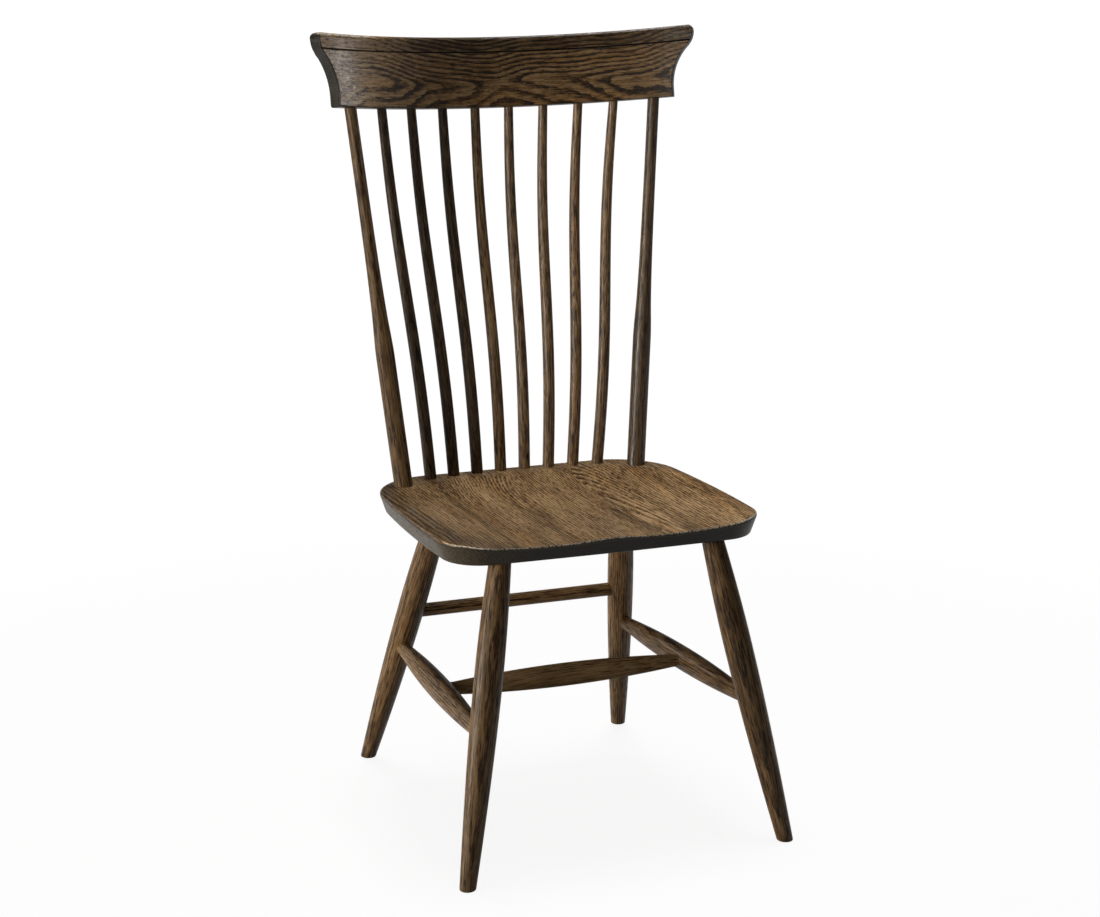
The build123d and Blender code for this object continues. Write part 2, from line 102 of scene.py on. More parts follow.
# Crest rail
CREST_BASE = Vector((0, 251.7, 986.0))
CREST_RECLINE = math.radians(11.2)
CREST_RADIUS = 480.0
CREST_THICKNESS = 18.5
CREST_HEIGHT = 103.5
CREST_BASE_REACH = 271.0
CREST_LOBE_REACH = 306.5
CREST_END_RISE = 15.0
CREST_LOBE_ROUND = 7.5
CREST_FLARE_SHARE = 0.73
CREST_TOP_FRONT_ROUND = 5.0
CREST_TOP_BACK_ROUND = 6.0
CREST_FRONT_UNDER_ROUND = 1.5
CREST_BACK_UNDER_ROUND = 3.5
CREST_END_EASE = 0.9
CREST_LINE_HEIGHT = 80.5
CREST_LINE_WIDTH = 2.4
CREST_LINE_DEPTH = 1.6
CREST_LINE_BLEED = 0.6

# Posts and spindles; a post's radii are given as (distance up from the seat, radius)
POST_HALF_SPACING = 184.4
POST_BASE_Y = 136.0
POST_CREST_REACH = 247.0
POST_RADII = ((0, 13.5), (188, 13.5), (253, 10.9), (353, 9.1), (540, 8.6))
POST_SLOPES = (0.0, 0.0, -0.03, -0.008, 0.0)
POST_SEAT_TENON_RADIUS = 11.0
POST_SEAT_TENON_LENGTH = 22.0
POST_SEAT_SINK = 1.0
POST_CREST_TENON_RADIUS = 6.3
POST_CREST_TENON_LENGTH = 26.0
POST_CREST_TENON_EASE = 0.8
POST_CREST_SINK = 1.5
SPINDLE_COUNT = 8
SPINDLE_SEAT_PITCH = 38.0
SPINDLE_BASE_Y = 175.5
SPINDLE_ROW_RADIUS = 820.0
SPINDLE_CREST_PITCH = 53.0
SPINDLE_SEAT_RADIUS = 8.75
SPINDLE_CREST_RADIUS = 6.8
SPINDLE_TAPER_POWER = 2.2
SPINDLE_BOW = 7.8
SPINDLE_SEAT_TENON_RADIUS = 6.0
SPINDLE_SEAT_TENON_LENGTH = 15.0
SPINDLE_CREST_TENON_LENGTH = 25.0

# How finely skins are drawn, and in metres how close two points are when they touch
ROUND = 48
LEG_ROWS = 60
STRETCHER_ROWS = 48
POST_ROWS = 70
SPINDLE_ROUND = 32
SPINDLE_ROWS = 60
TOUCHING = 1e-6
SHARP_ANGLE = math.radians(38)


# Mesh helpers


def smoothstep(low, high, value):
    """Eased share of the way from low to high."""
    share = min(max((value - low) / (high - low), 0.0), 1.0)
    return share * share * (3 - 2 * share)


def join_rows(bm, rows):
    """Faces between each ring of vertices and the next."""
    count = len(rows[0])
    for lower, upper in zip(rows, rows[1:]):
        for i in range(count):
            j = (i + 1) % count
            bm.faces.new((lower[i], lower[j], upper[j], upper[i]))


def tube(rings):
    """Closed skin through rings of points, with a flat cap at each end."""
    bm = bmesh.new()
    rows = [[bm.verts.new(point * MM) for point in ring] for ring in rings]
    join_rows(bm, rows)
    bm.faces.new(list(reversed(rows[0])))
    bm.faces.new(rows[-1])
    return bm


def cross_axes(axis):
    """Two unit vectors square to an axis and to each other."""
    first = axis.cross(UP).normalized()
    return first, axis.cross(first).normalized()


def around(axis, count):
    """Unit vectors square to an axis, evenly spaced round it."""
    first, second = cross_axes(axis)
    turns = [2 * math.pi * i / count for i in range(count)]
    return [first * math.cos(turn) + second * math.sin(turn) for turn in turns]


def ring_at(start, axis, ways, place, radius):
    """Ring of points about an axis, at a place along it."""
    return [start + axis * place + way * radius for way in ways]


def make_piece(name, bm, grain, nodes, material, shade=None, figure=None, hidden=None):
    """Turn a closed skin into a piece. At a point, grain gives grain coordinates in mm and the grain's way,
    shade the stain, painted shade and painted highlights there and figure how strongly the rings show; hidden
    tells faces inside a joint."""
    bmesh.ops.recalc_face_normals(bm, faces=bm.faces)
    places, ends, stains_and_painted_light, figures = [], [], [], []
    for vertex in bm.verts:
        point = vertex.co / MM
        place, way = grain(point)
        places.extend(component * MM for component in place)
        normal = Vector()
        for face in vertex.link_faces:
            if hidden is None or not hidden(face):
                normal += face.normal * face.calc_area()
        ends.append(normal.normalized().dot(way) ** 2)
        stains_and_painted_light.append(shade(point) if shade else 0.0)
        figures.append(figure(point) if figure else 1.0)
    mesh = bpy.data.meshes.new(name)
    bm.to_mesh(mesh)
    bm.free()
    mesh.shade_smooth()
    mesh.set_sharp_from_angle(angle=SHARP_ANGLE)
    mesh.attributes.new("grain", "FLOAT_VECTOR", "POINT").data.foreach_set("vector", places)
    for kind, values in (("end_grain", ends), ("stain_and_painted_light", stains_and_painted_light), ("figure", figures)):
        mesh.attributes.new(kind, "FLOAT", "POINT").data.foreach_set("value", values)
    mesh.materials.append(material)
    piece = bpy.data.objects.new(name, mesh)
    bpy.context.scene.collection.objects.link(piece)
    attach(piece, "root")
    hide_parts(*nodes)


def hermite(stops, slopes, at):
    """Smooth curve through (place, value) stops with a slope at each."""
    for (p0, v0), (p1, v1), m0, m1 in zip(stops, stops[1:], slopes, slopes[1:]):
        if at <= p1 or p1 == stops[-1][0]:
            span = p1 - p0
            t = (at - p0) / span
            return (
                (1 + 2 * t) * (1 - t) ** 2 * v0
                + t * (1 - t) ** 2 * span * m0
                + t * t * (3 - 2 * t) * v1
                + t * t * (t - 1) * span * m1
            )
    return stops[-1][1]


# Shader nodes


def new_tree(owner):
    """Empty node tree of a material or a world."""
    owner.use_nodes = True
    owner.node_tree.nodes.clear()
    return owner.node_tree


def link(tree, socket, value):
    """Feed a socket from another node's output or set it."""
    if isinstance(value, bpy.types.NodeSocket):
        tree.links.new(value, socket)
    else:
        socket.default_value = value


def calc(tree, operation, *values):
    """One Math node."""
    node = tree.nodes.new("ShaderNodeMath")
    node.operation = operation
    for socket, value in zip(node.inputs, values):
        link(tree, socket, value)
    return node.outputs[0]


def largest(tree, first, *others):
    """Largest of some values."""
    for other in others:
        first = calc(tree, "MAXIMUM", first, other)
    return first


def attribute(tree, name, output="Fac"):
    """What a piece carries at its points under a name."""
    node = tree.nodes.new("ShaderNodeAttribute")
    node.attribute_name = name
    return node.outputs[output]


def stretched_noise(tree, vector, stretch, detail=2.0, roughness=0.5):
    """Noise over grain coordinates, with so many cells to a metre across, along and through the grain."""
    scaled = tree.nodes.new("ShaderNodeVectorMath")
    scaled.operation = "MULTIPLY"
    link(tree, scaled.inputs[0], vector)
    scaled.inputs[1].default_value = stretch
    noise = tree.nodes.new("ShaderNodeTexNoise")
    link(tree, noise.inputs["Vector"], scaled.outputs[0])
    noise.inputs["Scale"].default_value = 1.0
    noise.inputs["Detail"].default_value = detail
    noise.inputs["Roughness"].default_value = roughness
    return noise.outputs[0]


def swing(tree, grain, cells, roughness=0.5):
    """Noise about zero."""
    return calc(tree, "SUBTRACT", stretched_noise(tree, grain, cells, roughness=roughness), 0.5)


def spread(tree, value, low, high, to_low=0.0, to_high=1.0):
    """Smooth map of a range, held at its ends."""
    node = tree.nodes.new("ShaderNodeMapRange")
    node.interpolation_type = "SMOOTHSTEP"
    link(tree, node.inputs["Value"], value)
    for name, number in (("From Min", low), ("From Max", high), ("To Min", to_low), ("To Max", to_high)):
        node.inputs[name].default_value = number
    return node.outputs[0]


def ramp(tree, value, stops):
    """Colours along a value."""
    node = tree.nodes.new("ShaderNodeValToRGB")
    link(tree, node.inputs["Fac"], value)
    elements = node.color_ramp.elements
    while len(elements) < len(stops):
        elements.new(0.5)
    for element, (place, colour) in zip(elements, stops):
        element.position = place
        element.color = (*colour, 1.0)
    return node.outputs["Color"]


def blend(tree, share, first, second, mode="MIX"):
    """One colour mix."""
    node = tree.nodes.new("ShaderNodeMix")
    node.data_type = "RGBA"
    node.blend_type = mode
    link(tree, node.inputs["Factor"], share)
    link(tree, node.inputs["A"], first if isinstance(first, bpy.types.NodeSocket) else (*first, 1.0))
    link(tree, node.inputs["B"], second if isinstance(second, bpy.types.NodeSocket) else (*second, 1.0))
    return node.outputs["Result"]


def mix_surface(tree, share, first, second, output_type):
    """Mix of two shaders as a tree's surface."""
    mix = tree.nodes.new("ShaderNodeMixShader")
    for socket, value in zip(mix.inputs, (share, first, second)):
        link(tree, socket, value)
    output = tree.nodes.new(output_type)
    link(tree, output.inputs["Surface"], mix.outputs[0])


# Stained oak

# Noise cells to a metre
PITH_SWING = (9, 2.6, 9)
PITH_DRIFT = (7, 3.4, 11)
RING_WOBBLES = ((45, 12, 45), (260, 60, 260))
RING_STRENGTHS = (40, 7, 40)
BLOTCHES = (12, 5, 12)
WARM_STREAKS = (60, 2.2, 60)
SPECKS = (420, 190, 420)

# Early wood is uneven. Pores lie thick in it and thin elsewhere, and they and the blotches dull the shine
EARLY_STRENGTH = 0.8
EARLY_STRENGTH_SWING = 1.6
PORES_ELSEWHERE = 0.4
PORES_IN_EARLY_WOOD = 0.6
PORE_DULLNESS = 0.2
BLOTCH_DULLNESS = 0.16
FIBRE_RELIEF = 0.3

# Tones run a little past 1 in the palest wood, so they are squeezed to fit the stain's colours
TONE_SPAN = 0.75
DARKEST_TONE = 0.20
STAIN = (
    (0.04, (0.006, 0.004, 0.0025)),
    (0.22, (0.045, 0.024, 0.010)),
    (0.41, (0.150, 0.084, 0.034)),
    (0.67, (0.330, 0.198, 0.088)),
    (1.00, (0.540, 0.360, 0.185)),
)
WARM_TINT = (1.0, 0.90, 0.74)
# Colour of painted highlights on edges and of painted glints in specks
PAINTED_HIGHLIGHT = (0.62, 0.56, 0.48)
# Dark colour that stain and painted shade blend towards
STAIN_AND_SHADE_DARK = (0.0035, 0.0025, 0.002)

# End grain has darker specks and dark rings
END_DARK_SHARE = 0.45
END_RING_SHARE = 0.35
END_RING = (0.006, 0.004, 0.003)


def early_wood(tree, grain, ring_width, wander, ragged):
    """Share of early wood, in growth rings about a pith that wanders along the board."""
    split = tree.nodes.new("ShaderNodeSeparateXYZ")
    link(tree, split.inputs[0], grain)
    across, _, through = split.outputs
    across = calc(tree, "MULTIPLY_ADD", swing(tree, grain, PITH_SWING), wander, across)
    through = calc(tree, "MULTIPLY_ADD", swing(tree, grain, PITH_DRIFT), wander, through)
    across_square = calc(tree, "MULTIPLY", across, across)
    radius = calc(tree, "SQRT", calc(tree, "MULTIPLY_ADD", through, through, across_square))
    for cells in RING_WOBBLES:
        radius = calc(tree, "MULTIPLY_ADD", swing(tree, grain, cells), ragged, radius)
    ring = calc(tree, "FRACT", calc(tree, "DIVIDE", radius, ring_width))
    early = largest(tree, spread(tree, ring, 0.62, 0.06), spread(tree, ring, 0.88, 1.0))
    strengths = swing(tree, grain, RING_STRENGTHS)
    uneven = calc(tree, "MULTIPLY_ADD", strengths, EARLY_STRENGTH_SWING, EARLY_STRENGTH)
    return calc(tree, "MULTIPLY", early, calc(tree, "MULTIPLY", uneven, attribute(tree, "figure")))


def over_end_grain(tree, colour, early, specks, end_colour):
    """A colour with speckled end grain where the wood is cut across."""
    dark = tuple(component * END_DARK_SHARE for component in end_colour)
    tone = ramp(tree, specks, ((0.35, dark), (0.65, end_colour)))
    tone = blend(tree, calc(tree, "MULTIPLY", early, END_RING_SHARE), tone, END_RING)
    return blend(tree, spread(tree, attribute(tree, "end_grain"), 0.15, 0.55), colour, tone)


def over_stain_and_painted_light(tree, colour, specks):
    """A colour darkened where the stain value is positive, by stain and painted shade, and turned in specks
    towards the painted highlight colour where it is negative.
    """
    stain_and_painted_light = attribute(tree, "stain_and_painted_light")
    # Negative values are painted highlights, broken into specks
    painted_highlight = calc(tree, "MULTIPLY", spread(tree, stain_and_painted_light, 0.0, -1.0), spread(tree, specks, 0.38, 0.55))
    colour = blend(tree, painted_highlight, colour, PAINTED_HIGHLIGHT)
    # Positive values darken by stain and painted shade
    return blend(tree, largest(tree, stain_and_painted_light, 0.0), colour, STAIN_AND_SHADE_DARK)


def oak(name, ring_width, wander, ragged, base, contrast, fibre_cells, lines, streak_cells, streak, patches,
        pore_cells, pore, roughness, gloss, coat, relief_depth, end_colour):
    """Dark stained open-grain oak, with growth rings, pores and stain blotches as a solid texture."""
    material = bpy.data.materials.new(name)
    tree = new_tree(material)
    grain = attribute(tree, "grain", "Vector")
    early = early_wood(tree, grain, ring_width, wander, ragged)
    pores = spread(tree, stretched_noise(tree, grain, pore_cells, roughness=0.65), 0.49, 0.59)
    thick = calc(tree, "MULTIPLY_ADD", early, PORES_IN_EARLY_WOOD, PORES_ELSEWHERE)
    pores = calc(tree, "MULTIPLY", pores, thick)
    fibres = stretched_noise(tree, grain, fibre_cells, detail=3.0, roughness=0.6)
    fibres = spread(tree, fibres, 0.36, 0.64, to_low=-0.5, to_high=0.5)
    streaks = swing(tree, grain, streak_cells, roughness=0.55)
    blotches = swing(tree, grain, BLOTCHES)

    tone = calc(tree, "MULTIPLY_ADD", early, -contrast, base)
    for value, strength in ((fibres, lines), (streaks, streak), (blotches, patches), (pores, -pore)):
        tone = calc(tree, "MULTIPLY_ADD", value, strength, tone)
    tone = largest(tree, tone, DARKEST_TONE)
    colour = ramp(tree, calc(tree, "MULTIPLY", tone, TONE_SPAN), STAIN)
    warm = spread(tree, stretched_noise(tree, grain, WARM_STREAKS), 0.48, 0.70)
    colour = blend(tree, warm, colour, WARM_TINT, "MULTIPLY")
    specks = stretched_noise(tree, grain, SPECKS, roughness=0.6)
    colour = over_end_grain(tree, colour, early, specks, end_colour)
    colour = over_stain_and_painted_light(tree, colour, specks)

    shine = calc(tree, "MULTIPLY_ADD", pores, PORE_DULLNESS, roughness)
    shine = calc(tree, "MULTIPLY_ADD", blotches, BLOTCH_DULLNESS, shine)
    relief = calc(tree, "SUBTRACT", calc(tree, "MULTIPLY", fibres, FIBRE_RELIEF), pores)
    bump = tree.nodes.new("ShaderNodeBump")
    bump.inputs["Strength"].default_value = 0.7
    bump.inputs["Distance"].default_value = relief_depth
    link(tree, bump.inputs["Height"], relief)

    shader = tree.nodes.new("ShaderNodeBsdfPrincipled")
    link(tree, shader.inputs["Base Color"], colour)
    link(tree, shader.inputs["Roughness"], shine)
    link(tree, shader.inputs["Normal"], bump.outputs["Normal"])
    shader.inputs["Specular IOR Level"].default_value = gloss
    shader.inputs["Coat Weight"].default_value = coat
    shader.inputs["Coat Roughness"].default_value = 0.16
    link(tree, shader.inputs["Coat Normal"], bump.outputs["Normal"])
    output = tree.nodes.new("ShaderNodeOutputMaterial")
    link(tree, output.inputs["Surface"], shader.outputs[0])
    return material


crest_oak = oak(
    "crest_oak", ring_width=0.0034, wander=0.005, ragged=0.0024, base=1.02, contrast=0.96,
    fibre_cells=(520, 30, 520), lines=0.50, streak_cells=(95, 2.6, 95), streak=0.35, patches=0.5,
    pore_cells=(480, 120, 480), pore=0.52,
    roughness=0.32, gloss=0.20, coat=0.30, relief_depth=0.0003, end_colour=(0.044, 0.038, 0.027),
)
seat_oak = oak(
    "seat_oak", ring_width=0.0038, wander=0.005, ragged=0.0028, base=1.05, contrast=0.72,
    fibre_cells=(650, 9, 650), lines=0.68, streak_cells=(44, 2.8, 44), streak=0.80, patches=0.8,
    pore_cells=(480, 75, 480), pore=0.62,
    roughness=0.32, gloss=0.22, coat=0.0, relief_depth=0.0002, end_colour=(0.115, 0.087, 0.047),
)
TURNED = dict(
    ring_width=0.0034, wander=0.004, ragged=0.0014, contrast=0.36,
    fibre_cells=(500, 22, 500), lines=0.54, streak_cells=(95, 2.6, 95), streak=0.50, patches=0.6,
    pore_cells=(480, 42, 480), pore=0.52, relief_depth=0.0002, end_colour=(0.050, 0.034, 0.021),
)
matt_oak = oak("matt_oak", base=0.96, roughness=0.40, gloss=0.20, coat=0.05, **TURNED)
satin_oak = oak("satin_oak", base=0.88, roughness=0.38, gloss=0.46, coat=0.10, **TURNED)
# A lighter copy of the oak for the centre stretcher: painted light for the light it catches under the seat
dull_painted_lit_oak = oak("dull_painted_lit_oak", base=1.34, roughness=0.64, gloss=0.10, coat=0.0, **TURNED)


# Outline of the seat


def circle_through(p, q, r):
    """Centre and radius of the circle through three points of the plane."""
    ax, ay, bx, by, cx, cy = *p, *q, *r
    d = 2 * (ax * (by - cy) + bx * (cy - ay) + cx * (ay - by))
    pa, pb, pc = ax * ax + ay * ay, bx * bx + by * by, cx * cx + cy * cy
    x = (pa * (by - cy) + pb * (cy - ay) + pc * (ay - by)) / d
    y = (pa * (cx - bx) + pb * (ax - cx) + pc * (bx - ax)) / d
    return (x, y), math.hypot(ax - x, ay - y)


def inner_round(first, second, radius, near):
    """Centre of a round that touches two circles from inside, the one nearest to a point."""
    (centre, first_radius), (other_centre, second_radius) = first, second
    gap = math.dist(centre, other_centre)
    reach, other_reach = first_radius - radius, second_radius - radius
    along = (reach**2 - other_reach**2 + gap**2) / (2 * gap)
    square = math.sqrt(reach**2 - along**2)
    ux, uy = (other_centre[0] - centre[0]) / gap, (other_centre[1] - centre[1]) / gap
    options = [
        (centre[0] + ux * along - uy * square * side, centre[1] + uy * along + ux * square * side)
        for side in (-1, 1)
    ]
    return min(options, key=lambda point: math.dist(point, near))


def arc_points(centre, radius, start, end, count):
    """Points of an arc from one angle to another."""
    turns = [start + (end - start) * i / count for i in range(count + 1)]
    return [(centre[0] + radius * math.cos(turn), centre[1] + radius * math.sin(turn)) for turn in turns]


def way_to(start, end):
    """Angle of the line from one point of the plane to another."""
    return math.atan2(end[1] - start[1], end[0] - start[0])


def seat_loop():
    """Outline of the seat's top edge, anticlockwise from the middle of its front."""
    front = (SEAT_FRONT_WIDTH / 2, SEAT_FRONT_Y + SEAT_FRONT_BOW)
    back = (SEAT_BACK_WIDTH / 2, SEAT_BACK_Y)
    front_circle = circle_through((-front[0], front[1]), (0, SEAT_FRONT_Y), front)
    side_circle = circle_through(front, (SEAT_WIDTH / 2, SEAT_WIDEST_Y), back)
    side_centre, side_radius = side_circle
    front_corner = inner_round(front_circle, side_circle, SEAT_FRONT_CORNER, front)
    back_y = SEAT_BACK_Y - SEAT_BACK_CORNER
    back_reach = side_radius - SEAT_BACK_CORNER
    back_corner = (side_centre[0] + math.sqrt(back_reach**2 - (back_y - side_centre[1]) ** 2), back_y)

    front_way = way_to(front_circle[0], front_corner)
    side_way = way_to(side_centre, front_corner)
    back_way = way_to(side_centre, back_corner)
    half = arc_points(*front_circle, -math.pi / 2, front_way, count=200)
    half += arc_points(front_corner, SEAT_FRONT_CORNER, front_way, side_way, count=120)[1:]
    half += arc_points(*side_circle, side_way, back_way, count=240)[1:]
    half += arc_points(back_corner, SEAT_BACK_CORNER, back_way, math.pi / 2, count=160)[1:]
    steps = 80
    half += [(half[-1][0] * (1 - i / steps), SEAT_BACK_Y) for i in range(1, steps + 1)]
    return half + [(-x, y) for x, y in reversed(half[1:-1])]


def evenly_spaced(loop, count):
    """Points at equal steps round a closed loop, and the outward way at each."""
    lengths = [0.0]
    for p, q in zip(loop, loop[1:] + loop[:1]):
        lengths.append(lengths[-1] + math.dist(p, q))
    points, index = [], 0
    for i in range(count):
        target = lengths[-1] * i / count
        while lengths[index + 1] < target:
            index += 1
        share = (target - lengths[index]) / (lengths[index + 1] - lengths[index])
        p, q = loop[index], loop[(index + 1) % len(loop)]
        points.append(Vector((p[0] + (q[0] - p[0]) * share, p[1] + (q[1] - p[1]) * share)))
    runs = [points[(i + 1) % count] - points[i - 1] for i in range(count)]
    return points, [Vector((run.y, -run.x)).normalized() for run in runs]


# Skin of the seat

# Columns of points run from the middle of the top over the edge to the middle of the underside
SEAT_COLUMNS = 400
SEAT_MIDDLE = Vector((0, -15))
SADDLE_ROWS = 36
SADDLE_START = 0.03
CREASE_LIMIT = 0.965
CREASE_WIDTH = 0.006
CREASE_TRIES = 30
DECK_ROWS = 6
RIM_ROWS = 7
EDGE_ROWS = 5
EASE_ROWS = 4
UNDER_ROWS = 9
UNDER_REACH = 0.98


def saddle_depth(x, y):
    """Depth of the saddle below the flat seat top, negative outside it."""
    sides = SADDLE_DEPTH * (abs(x) / SADDLE_HALF_WIDTH) ** SADDLE_SIDE_POWER
    if y > SADDLE_DEEPEST_Y:
        reach = (y - SADDLE_DEEPEST_Y) / (SADDLE_BACK_Y - SADDLE_DEEPEST_Y)
        return SADDLE_DEPTH * (1 - reach**2) - sides
    reach = (SADDLE_DEEPEST_Y - y) / (SADDLE_DEEPEST_Y - SEAT_FRONT_Y)
    level = SADDLE_DEPTH - (SADDLE_DEPTH - SADDLE_FRONT_DEPTH) * reach**2
    return level - sides - POMMEL_RISE * reach**2 * math.exp(-((x / POMMEL_HALF_WIDTH) ** 2))


def seat_top(point):
    """Height of the seat's upper face."""
    return SEAT_HEIGHT - max(0.0, saddle_depth(point.x, point.y))


def crease_share(edge):
    """Share of the way from the seat's middle to its rim where the saddle ends."""
    low, high = 0.0, 1.0
    for _ in range(CREASE_TRIES):
        half = (low + high) / 2
        probe = SEAT_MIDDLE + (edge - SEAT_MIDDLE) * half
        low, high = (half, high) if saddle_depth(probe.x, probe.y) > 0 else (low, half)
    return min(low, CREASE_LIMIT)


def curve_point(start, corner, end, share):
    """Point of a curve that rounds off a corner."""
    return tuple(
        (1 - share) ** 2 * a + 2 * share * (1 - share) * b + share * share * c
        for a, b, c in zip(start, corner, end)
    )


def edge_profile(start, corner, rim):
    """The seat's edge from its rim down to its underside, as (depth in from the outline, height)."""
    inward, down = math.sin(SEAT_EDGE_BEVEL), math.cos(SEAT_EDGE_BEVEL)
    side_start = (corner[0] + rim * inward, corner[1] - rim * down)
    foot = (SEAT_THICKNESS * math.tan(SEAT_EDGE_BEVEL), SEAT_UNDER)
    side_end = (foot[0] - SEAT_UNDER_EASE * inward, foot[1] + SEAT_UNDER_EASE * down)
    under = (foot[0] + SEAT_UNDER_EASE, foot[1])
    profile = [curve_point(start, corner, side_start, i / RIM_ROWS) for i in range(1, RIM_ROWS + 1)]
    for i in range(1, EDGE_ROWS):
        share = i / EDGE_ROWS
        profile.append(tuple(a + (b - a) * share for a, b in zip(side_start, side_end)))
    profile += [curve_point(side_end, foot, under, i / EASE_ROWS) for i in range(EASE_ROWS + 1)]
    return profile


def seat_column(point, normal):
    """One column of points of the seat's skin, through a point of its outline."""
    cut = max(0.0, saddle_depth(point.x, point.y))
    inset = cut * math.tan(SEAT_EDGE_BEVEL)
    rim = FLAT_RIM + (SADDLE_RIM - FLAT_RIM) * smoothstep(0.5, 5.0, cut)
    edge = point - normal * (inset + rim)

    # Three rows keep close to the crease where the saddle runs out to the flat deck
    crease = crease_share(edge)
    deck = crease + CREASE_WIDTH
    shares = [crease * (SADDLE_START + (1 - SADDLE_START) * i / SADDLE_ROWS) for i in range(SADDLE_ROWS)]
    shares += [crease - CREASE_WIDTH, crease, deck]
    shares += [deck + (1 - deck) * i / DECK_ROWS for i in range(1, DECK_ROWS + 1)]
    column = []
    for share in shares:
        spot = SEAT_MIDDLE + (edge - SEAT_MIDDLE) * share
        column.append(Vector((spot.x, spot.y, seat_top(spot))))

    profile = edge_profile((inset + rim, seat_top(edge)), (inset, SEAT_HEIGHT - cut), rim)
    for depth, height in profile:
        spot = point - normal * depth
        column.append(Vector((spot.x, spot.y, height)))
    base = point - normal * profile[-1][0]
    for i in range(1, UNDER_ROWS):
        spot = base + (SEAT_MIDDLE - base) * (i / UNDER_ROWS) * UNDER_REACH
        column.append(Vector((spot.x, spot.y, SEAT_UNDER)))
    return column


def seat_skin():
    """The whole seat as one closed skin, before it is parted into its boards."""
    points, normals = evenly_spaced(seat_loop(), SEAT_COLUMNS)
    columns = [seat_column(point, normal) for point, normal in zip(points, normals)]
    return tube(list(zip(*columns)))


# Seat boards

# Where each board was cut from the tree: offset of the pith, place along the trunk and lean
BOARD_CUTS = (
    ((-85, -80), 300, 0.02),
    ((110, -90), 900, 0.03),
    ((-130, -70), 1700, -0.02),
    ((-40, -78), 2500, 0.045),
    ((-110, -80), 3400, -0.03),
)

# The shaped edge starts this far above the underside and ends this far below the top
EDGE_START = 1.0
EDGE_STOP = 3.0


def part_board(skin, left, right):
    """The share of the seat between two joints, closed at its joint faces."""
    board = skin.copy()
    for place, side in ((left, -1), (right, 1)):
        if place is None:
            continue
        bmesh.ops.bisect_plane(
            board,
            geom=board.verts[:] + board.edges[:] + board.faces[:],
            plane_co=(place * MM, 0, 0),
            plane_no=(side, 0, 0),
            clear_outer=True,
        )
        bmesh.ops.holes_fill(board, edges=[edge for edge in board.edges if edge.is_boundary])
    return board


def board_grain(centre, pith, shift, tilt):
    """Grain of a seat board, which runs from front to back. The seat's shaped edge is drawn as end grain
    all round, so there the way points outward."""

    def grain(point):
        across = point.x - centre - pith[0]
        through = point.z - SEAT_HEIGHT - pith[1] + tilt * point.y
        on_edge = SEAT_UNDER + EDGE_START < point.z < seat_top(point) - EDGE_STOP
        outward = Vector((point.x, point.y, 0)).normalized()
        return (across, point.y + shift, through), outward if on_edge else -FORWARD

    return grain


def joint_face(face):
    """Whether a face lies in a glue joint between two boards."""
    return any(
        all(abs(vertex.co.x - place * MM) < TOUCHING for vertex in face.verts) for place in SEAT_BOARD_JOINTS
    )


def seat_stain_and_painted_light(point):
    """The edge and the underside carry painted shade, weaker towards their left. The top is darker towards
    the left. The rim carries a painted highlight in front and is darker elsewhere."""
    below = seat_top(point) - point.z
    rim = smoothstep(0.2, 0.9, below) * (1 - smoothstep(1.6, 3.2, below))
    front = 1 - smoothstep(-190, -150, point.y)
    # Painted shade on the edge and the underside, weaker towards the left
    edge = smoothstep(2.5, 7.0, below)
    # The top is darker towards the left
    top = 0.20 * (1 - smoothstep(20, 190, point.x)) + 0.40 * (1 - smoothstep(-220, -165, point.x))
    side = 0.18 + 0.66 * smoothstep(-200, -90, point.x)
    # Painted highlight along the front of the rim; the rest of the rim is darker
    rim_shade_and_highlight = 0.70 * (1 - front) - 0.85 * front
    return top * (1 - edge) * (1 - rim) + side * edge + rim_shade_and_highlight * rim


skin = seat_skin()
joints = (None, *SEAT_BOARD_JOINTS, None)
limits = (-SEAT_WIDTH / 2, *SEAT_BOARD_JOINTS, SEAT_WIDTH / 2)
for index, cut in enumerate(BOARD_CUTS):
    node = f"seat_board_{index + 1}"
    make_piece(
        f"{node}_wood",
        part_board(skin, joints[index], joints[index + 1]),
        board_grain((limits[index] + limits[index + 1]) / 2, *cut),
        [node],
        seat_oak,
        shade=seat_stain_and_painted_light,
        hidden=joint_face,
    )
skin.free()


# Wood of the turned pieces

# How far from the tree's pith each kind was cut, and from how long and how leaning a trunk
LEG_PITH = 75
STRETCHER_PITH = 60
POST_PITH = 70
SPINDLE_PITH = 55
TRUNK_LENGTH = 9000
TRUNK_LEAN = 0.02

# Some turned pieces are darker than others. On back spindles 1 to 4 the darkening is painted shade for the
# shadow that the left post and their neighbours cast on them.
SPINDLE_STAINS_AND_SHADE = (0.80, 0.78, 0.78, 0.50, 0.38, 0.34, 0.16, 0.36)
PIECE_STAIN_AND_SHADE = {f"back_spindle_{number}": stain_and_painted_light for number, stain_and_painted_light in enumerate(SPINDLE_STAINS_AND_SHADE, start=1)}
PIECE_STAIN_AND_SHADE.update(
    left_back_post=0.50, right_back_post=0.64, front_left_leg=0.36, front_right_leg=0.38,
    rear_left_leg=0.32, left_side_stretcher=0.36, right_side_stretcher=0.46,
)
SATIN_PIECES = ("right_back_post", *(f"back_spindle_{number}" for number in range(5, 9)))
PAINTED_LIT_PIECES = ("centre_stretcher",)

random.seed(7)


def turned_material(name):
    """Finish of a turned piece; the centre stretcher takes a lighter copy of the oak, which is painted light.
    """
    if name in PAINTED_LIT_PIECES:
        return dull_painted_lit_oak
    return satin_oak if name in SATIN_PIECES else matt_oak


def random_cut(distance):
    """Where a turned piece was cut from the tree: pith offset, place along the trunk and lean."""
    angle = random.uniform(0, 2 * math.pi)
    pith = (distance * math.cos(angle), distance * math.sin(angle))
    return pith, random.uniform(0, TRUNK_LENGTH), random.uniform(-TRUNK_LEAN, TRUNK_LEAN)


